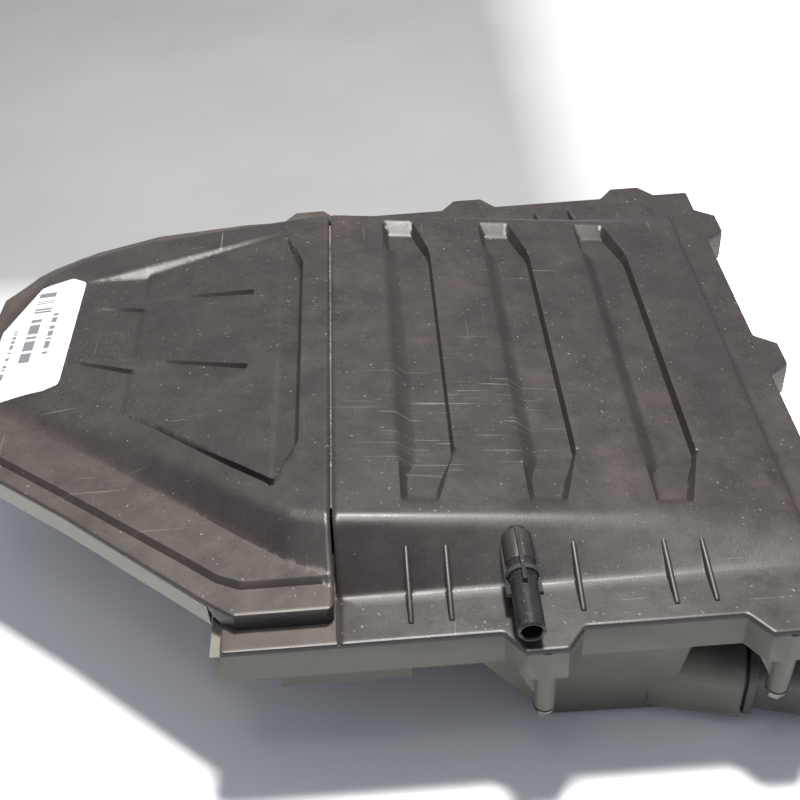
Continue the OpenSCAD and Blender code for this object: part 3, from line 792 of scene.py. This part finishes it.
def softened(name, node, finish, body, width):
    """A copy of a CAD solid with its facets joined and its edges rounded as a mould rounds them."""
    source = bpy.data.objects[node]
    mesh = bmesh.new()
    mesh.from_mesh(source.data)
    mesh.transform(source.matrix_world)
    bmesh.ops.remove_doubles(mesh, verts=mesh.verts, dist=1e-6)
    bmesh.ops.dissolve_limit(mesh, angle_limit=math.radians(0.5), verts=mesh.verts, edges=mesh.edges)
    copy = bpy.data.meshes.new(name)
    mesh.to_mesh(copy)
    mesh.free()
    copy.materials.clear()
    copy.materials.append(finish.material)
    thing = shown(name, copy)
    round_off = thing.modifiers.new("edges", "BEVEL")
    round_off.width = width * MM
    round_off.segments = 2
    round_off.limit_method = "ANGLE"
    round_off.angle_limit = math.radians(25)
    round_off.use_clamp_overlap = True
    smoothed(copy, 32)
    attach(thing, body)
    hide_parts(node)


softened("tub", "lower_housing", tub_plastic, "root", 0.6)

# ---- Duct, lower shell ---------------------------------------------------------------------
# The moulding that closes the duct from below and comes away with the cover, painted paler to stand
# for the light that the white table throws up onto it. Its wall shows under the ledge at the left.
# Painted light: these pale colours stand for light thrown up from the white table onto the tray's wall
pale_plastic_painted_bounce = moulded_plastic("pale_plastic_painted_bounce", rgb(120, 118, 110), rgb(136, 133, 124), rgb(160, 152, 138),
                               roughness=0.5, dusting=0.3, scratch=0.3, grain=0.5)
softened("duct_tray", "duct_lower_shell", pale_plastic_painted_bounce, "cover", 0.5)

# ---- Raw-air neck --------------------------------------------------------------------------
# The flat neck through which air reaches the tub: a separate, darker moulding pushed into a
# rubber sleeve in the tub's socket.
neck_plastic = moulded_plastic("neck_plastic", rgb(58, 57, 55), rgb(72, 70, 67), rgb(140, 132, 120),
                               roughness=0.45, dusting=0.4, scratch=0.3)
softened("neck", "inlet_neck", neck_plastic, "root", 0.5)
soft_rubber = moulded_plastic("soft_rubber", rgb(28, 28, 28), rgb(38, 37, 36), rgb(110, 104, 96),
                              roughness=0.78, dusting=0.3, scratch=0.0)
repaint("inlet_seal", soft_rubber)

# ---- Outlet --------------------------------------------------------------------------------
# A round moulded collar for the clean-air hose, pressed into the duct's left end, with a flow
# grid inside it.
softened("collar", "outlet_collar", neck_plastic, "cover", 0.4)
repaint("outlet_mesh", neck_plastic)

# ---- Vent tube -----------------------------------------------------------------------------
# A small hose spigot in glossy black plastic, stepped, with ribs along its top and sides. It is
# pressed into a boss on the cover's front slope, against a rubber ring.
gloss_plastic = moulded_plastic("vent_plastic", rgb(26, 25, 24), rgb(36, 35, 33), rgb(110, 100, 90),
                                roughness=0.24, dusting=0.2, scratch=0.4, grain=0.15)
vent_front, vent_step, vent_back, vent_r, vent_bore = -184.0, -157.0, -128.0, 6.0, 4.4
barrel = turned([(vent_bore, vent_front + 0.7), (vent_bore + 0.6, vent_front), (vent_r - 0.7, vent_front),
                 (vent_r, vent_front + 0.8), (vent_r, vent_step), (vent_r + 0.45, vent_step + 0.3),
                 (vent_r + 0.45, vent_step + 9.6), (vent_r - 0.6, vent_step + 9.8), (vent_r - 0.6, vent_back),
                 (vent_bore, vent_back)], (vent_x, 0, vent_z), "y", 64)


def bar(x0, x1, y0, y1, z0, z1, taper):
    """A straight rib, narrower at its top."""
    low = [(x0, y0), (x1, y0), (x1, y1), (x0, y1)]
    x0, x1, y0, y1 = x0 + taper, x1 - taper, y0 + taper, y1 - taper
    high = [(x0, y0), (x1, y0), (x1, y1), (x0, y1)]
    verts = [(*p, z0) for p in low] + [(*p, z1) for p in high]
    faces = [(3, 2, 1, 0), (4, 5, 6, 7)] + [(i, (i + 1) % 4, (i + 1) % 4 + 4, i + 4) for i in range(4)]
    return verts, faces


ribs = [bar(vent_x - 1.3, vent_x + 1.3, -162, -131, vent_z + vent_r - 0.6, vent_z + vent_r + 2.3, 0.45),
        bar(vent_x - vent_r - 2.0, vent_x - vent_r + 0.5, -163, -133, vent_z - 1.6, vent_z + 0.4, 0.25),
        bar(vent_x + vent_r - 0.5, vent_x + vent_r + 2.0, -163, -133, vent_z - 1.6, vent_z + 0.4, 0.25)]
piece("vent_tube_spigot", [barrel] + ribs, gloss_plastic, "cover", ["vent_tube"])
repaint("vent_seal", soft_rubber)

# ---- Screws, sleeves and inserts -----------------------------------------------------------
# Eight captive screws come up through the tub's posts into threaded brass inserts; steel
# sleeves in the posts carry the clamping load. Each kind is one shape set at the eight places.
screw_steel = Finish("screw_steel")
wear = screw_steel.ramp(screw_steel.noise(180, 4), 0.35, 0.7)
screw_steel.feed(colour=screw_steel.mix(wear, rgb(84, 84, 86), rgb(120, 118, 114)), metal=1.0,
                 rough=wear * 0.2 + 0.28, normal=screw_steel.bump(wear, 0.2, 0.0001))
insert_brass = Finish("insert_brass")
tarnish = insert_brass.ramp(insert_brass.noise(220, 4), 0.35, 0.7)
insert_brass.feed(colour=insert_brass.mix(tarnish, rgb(150, 118, 62), rgb(196, 164, 96)), metal=1.0,
                  rough=tarnish * 0.2 + 0.3)
sleeve_metal = Finish("sleeve_metal")
brushed = sleeve_metal.ramp(sleeve_metal.noise(90, 5, stretch=(1, 1, 14)), 0.3, 0.7)
sleeve_metal.feed(colour=sleeve_metal.mix(brushed, rgb(150, 150, 152), rgb(190, 190, 190)), metal=1.0,
                  rough=brushed * 0.15 + 0.3)


class Tree:
    """A Geometry Nodes tree with named inputs, built node by node."""

    def __init__(self, name, **inputs):
        self.tree = bpy.data.node_groups.new(name, "GeometryNodeTree")
        self.tree.interface.new_socket("Geometry", in_out="INPUT", socket_type="NodeSocketGeometry")
        self.tree.interface.new_socket("Geometry", in_out="OUTPUT", socket_type="NodeSocketGeometry")
        self.ids = {}
        for key, value in inputs.items():
            kind = {int: "Int", float: "Float"}[type(value)]
            socket = self.tree.interface.new_socket(key, in_out="INPUT", socket_type="NodeSocket" + kind)
            self.ids[key] = (socket.identifier, value)
        self.start = self.tree.nodes.new("NodeGroupInput")

    def value(self, name):
        """One of the tree's named inputs."""
        return self.start.outputs[name]

    def add(self, kind, output=0, settings=None, **sockets):
        """Any node by its type, its settings and its sockets' values or links."""
        node = self.tree.nodes.new(kind if kind.startswith(("Function", "Shader")) else "GeometryNode" + kind)
        for key, value in (settings or {}).items():
            setattr(node, key, value)
        for key, value in sockets.items():
            socket = node.inputs[int(key[1:])] if key[0] == "i" and key[1:].isdigit() else node.inputs[key]
            if isinstance(value, bpy.types.NodeSocket):
                self.tree.links.new(value, socket)
            else:
                socket.default_value = value
        return node.outputs[output]

    def result(self, geometry, finish):
        """Ends the tree with real geometry in the given finish."""
        real = self.add("RealizeInstances", Geometry=geometry)
        done = self.add("SetMaterial", Geometry=real, Material=finish.material)
        self.tree.links.new(done, self.tree.nodes.new("NodeGroupOutput").inputs[0])

    def made(self, name, source, body, stands_for, finish):
        """Runs the tree on a mesh and keeps what it makes as a plain piece."""
        base = shown(name + "_base", source)
        grow = base.modifiers.new("tree", "NODES")
        grow.node_group = self.tree
        for identifier, value in self.ids.values():
            grow[identifier] = value
        graph = bpy.context.evaluated_depsgraph_get()
        mesh = bpy.data.meshes.new_from_object(base.evaluated_get(graph))
        bpy.data.objects.remove(base)
        mesh.name = name
        smoothed(mesh)
        if not mesh.materials:
            mesh.materials.append(finish.material)
        thing = shown(name, mesh)
        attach(thing, body)
        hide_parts(*stands_for)


def about_origin(x, y, z):
    """A shape that a tree will copy stays about the origin, in metres."""
    return x * MM, y * MM, z * MM


def places_mesh(name, spots):
    """Loose points, one for each copy of a shape."""
    return joined(name, [([spot], []) for spot in spots], at)


def hexagon_head(radius, inner, z0, z1, chamfer):
    """A hexagon head with a hexagon socket in its underside."""
    def ring(r, z):
        return [(r * math.cos(math.pi / 3 * k), r * math.sin(math.pi / 3 * k), z) for k in range(6)]

    loops = [ring(inner, z0 + 2.2), ring(inner, z0 + 0.3), ring(inner + 0.3, z0), ring(radius - chamfer, z0),
             ring(radius, z0 + chamfer), ring(radius, z1)]
    verts = [v for loop in loops for v in loop]
    faces = [(0, 1, 2, 3, 4, 5), tuple(len(verts) - 6 + k for k in range(6))]
    for n in range(0, len(verts) - 6, 6):
        faces += [(n + k, n + 6 + k, n + 6 + (k + 1) % 6, n + (k + 1) % 6) for k in range(6)]
    return verts, faces


def in_place(mesh):
    """Faces outward on a mesh made of closed shells."""
    work = bmesh.new()
    work.from_mesh(mesh)
    bmesh.ops.remove_doubles(work, verts=work.verts, dist=1e-7)
    bmesh.ops.recalc_face_normals(work, faces=work.faces)
    work.to_mesh(mesh)
    work.free()
    return mesh


def set_at(name, shape, body, node, finish):
    """The same shape at each screw, each turned differently."""
    holder = bpy.data.objects.new(name + "_shape", in_place(joined(name, shape, about_origin)))
    tree = Tree(name + "_set", Seed=7, Turn=1.0)
    points = tree.add("MeshToPoints", Mesh=tree.value("Geometry"))
    kind = tree.add("ObjectInfo", output="Geometry", Object=holder)
    spin = tree.add("FunctionNodeRandomValue", output=1, settings={"data_type": "FLOAT"},
                    Seed=tree.value("Seed"), i2=0.0, i3=tree.value("Turn"))
    rotation = tree.add("ShaderNodeCombineXYZ", Z=spin)
    copies = tree.add("InstanceOnPoints", Points=points, Instance=kind, Rotation=rotation)
    tree.result(copies, finish)
    spots = places_mesh(name, [(x, y, 0) for x, y in screw_at])
    tree.made(name, spots, body, [node], finish)
    bpy.data.objects.remove(holder)


head_z, screw_top, shank_r = deck - 50, deck - 4, 2.5
thread_pitch, thread_depth = 0.9, 0.35
thread = [(shank_r - thread_depth * (k % 2), head_z + 30 + k * thread_pitch / 2) for k in range(32)]
shank = turned([(0.01, head_z + 4), (shank_r, head_z + 4)] + thread
               + [(shank_r - 0.8, screw_top), (0.01, screw_top)], steps=24)
washer = turned([(0.01, head_z + 3.9), (4.6, head_z + 3.9), (5.0, head_z + 4.3), (5.0, head_z + 5.3),
                 (0.01, head_z + 5.3)], steps=40)
set_at("cover_screw_set", [shank, washer, hexagon_head(4.0, 2.2, head_z, head_z + 4.1, 0.5)], "cover_screws",
       "cover_screws", screw_steel)

insert_r, insert_bore, insert_low, insert_high = 3.39, 2.62, deck - 14.6, deck - 1.8
knurl = [(insert_bore, insert_low), (insert_r, insert_low), (insert_r, insert_low + 4.4),
         (insert_r - 0.35, insert_low + 5), (insert_r - 0.35, insert_low + 6.8), (insert_r, insert_low + 7.4),
         (insert_r, insert_high), (insert_bore, insert_high)]
set_at("cover_insert_set", [turned(knurl, steps=28)], "cover", "cover_inserts", insert_brass)
sleeve_low, sleeve_high, sleeve_r, sleeve_bore = deck - 45.5, deck - 16.2, 3.56, 2.8
sleeve_ring = [(sleeve_bore, sleeve_low), (sleeve_r - 0.3, sleeve_low), (sleeve_r, sleeve_low + 0.3),
               (sleeve_r, sleeve_high - 0.3), (sleeve_r - 0.3, sleeve_high), (sleeve_bore, sleeve_high)]
set_at("screw_sleeve_set", [turned(sleeve_ring, steps=32)], "root", "screw_sleeves",
       sleeve_metal)

# ---- Rubber mounts and drain ---------------------------------------------------------------
# Three rubber grommets with steel bushes, pressed into seats in the tub's floor, carry the housing.
# A slit rubber valve pushed through the floor drains it.
repaint("mount_grommets", soft_rubber)
repaint("mount_sleeves", sleeve_metal)
repaint("drain_valve", soft_rubber)

# ---- Filter element ------------------------------------------------------------------------
# A moulded frame round a pack of pleated paper, held at its pitch by hot-melt beads, with a
# coarse moulded grid below it. Only seen when the cover is lifted.
filter_foam = moulded_plastic("filter_foam", rgb(48, 50, 52), rgb(62, 64, 66), rgb(120, 114, 104),
                              roughness=0.7, dusting=0.4, scratch=0.0)
repaint("filter_frame", filter_foam)
filter_grid = moulded_plastic("filter_grid", rgb(180, 180, 172), rgb(200, 200, 192), rgb(150, 140, 124),
                              roughness=0.5, dusting=0.2, scratch=0.0)
repaint("filter_mesh", filter_grid)
filter_glue = moulded_plastic("filter_glue", rgb(228, 222, 204), rgb(238, 234, 220), rgb(190, 180, 160),
                              roughness=0.35, dusting=0.2, scratch=0.0)
repaint("filter_glue_beads", filter_glue)
filter_paper = Finish("filter_paper")
fibre = filter_paper.noise(700, 5, 0.7)
soiled = filter_paper.ramp(filter_paper.noise(14, 4), 0.4, 0.75)
filter_paper.feed(colour=filter_paper.mix(soiled * 0.6, rgb(232, 224, 196), rgb(186, 172, 140)), rough=0.85,
                  normal=filter_paper.bump(fibre, 0.4, 0.0002))
pack_half_w, pack_half_d, pleat_low, pleat_tall = 124.0, 143.0, deck - 37.4, 30.5
paper_end, paper_t, folds = 0.7, 0.5, 31
pitch = 2 * (pack_half_w - paper_end) / folds


def one_fold():
    """One zigzag fold of paper, a thin closed shell with rounded tips."""
    tip = 0.35
    line = [(0, 0.25), (tip, 0), (pitch / 2 - tip, pleat_tall - 0.15), (pitch / 2, pleat_tall),
            (pitch / 2 + tip, pleat_tall - 0.15), (pitch - tip, 0), (pitch, 0.25)]
    upper = [(x, z + paper_t + (0.6 if 0 < i < 6 and i != 3 else 0)) for i, (x, z) in enumerate(line)]
    profile = line + upper[::-1]
    n = len(profile)
    verts = [(x, y, z) for y in (-pack_half_d, pack_half_d) for x, z in profile]
    faces = [tuple(range(n)), tuple(range(2 * n - 1, n - 1, -1))]
    faces += [(i + n, (i + 1) % n + n, (i + 1) % n, i) for i in range(n)]
    return verts, faces


fold = bpy.data.objects.new("fold_shape", in_place(joined("fold", [one_fold()], about_origin)))
pleats = Tree("pleat_row", Count=folds, Pitch=pitch * MM)
row = pleats.add("MeshLine", settings={"mode": "OFFSET", "count_mode": "TOTAL"}, Count=pleats.value("Count"),
                 Offset=pleats.add("ShaderNodeCombineXYZ", X=pleats.value("Pitch")))
moved = pleats.add("Transform", Geometry=row, Translation=at(paper_end - pack_half_w, 0, pleat_low))
many = pleats.add("InstanceOnPoints", Points=pleats.add("MeshToPoints", Mesh=moved),
                  Instance=pleats.add("ObjectInfo", output="Geometry", Object=fold))
pleats.result(many, filter_paper)
pleats.made("pleat_pack", places_mesh("row_start", [(0, 0, 0)]), "filter_element", ["filter_pleats"],
            filter_paper)
bpy.data.objects.remove(fold)

# ---- Label ---------------------------------------------------------------------------------
# A paper sticker pressed onto the duct's left end. It follows the surface below it, and plain grey
# bars and blocks stand for its print.
label_paper = Finish("label_paper")
label_x, label_y = label_paper.along("X"), label_paper.along("Y")


def band(value, low, high):
    """One where a value lies between two limits."""
    return value.math("GREATER_THAN", low) * value.math("LESS_THAN", high)


def bars(x0, x1, y0, y1, pitch_mm, share, seed):
    """Grey bars of uneven width in one block of the print."""
    low, high = at(x0, y0, 0), at(x1, y1, 0)
    cell = (label_y * (1000 / pitch_mm)).math("FLOOR")
    roll = label_paper.node("ShaderNodeTexWhiteNoise", output="Value", settings={"noise_dimensions": "1D"},
                            W=cell + seed)
    return band(label_y, low.y, high.y) * band(label_x, low.x, high.x) * roll.math("LESS_THAN", share)


print_marks = bars(-262, -252, 66, 86, 0.9, 0.5, 3.0)
for block in ((-262, -256, 20, 60, 2.2, 0.6, 11.0), (-250, -247, 26, 64, 1.6, 0.55, 23.0),
              (-270, -268, 4, 60, 1.3, 0.35, 31.0)):
    print_marks = print_marks.math("MAXIMUM", bars(*block))
ripples = label_paper.ramp(label_paper.noise(40, 3), 0.4, 0.6)
label_paper.feed(colour=label_paper.mix(print_marks * 0.9, rgb(186, 186, 187), rgb(84, 85, 88)), rough=0.45,
                 normal=label_paper.bump(ripples, 0.15, 0.0004))
label_outline = rounded([(-277, -12), (-243, -7), (-235.5, -3), (-235.5, 92), (-244, 98), (-262, 92),
                         (-277, 52)], 3)
sticker = sheet(label_outline, [], lambda p: duct_height(p) + 0.16, lambda p: duct_height(p) + 0.02,
                rows=(0.5, 1.5, 2.0), coarse=4)
piece("label_sticker", [sticker], label_paper, "cover", ["label"])
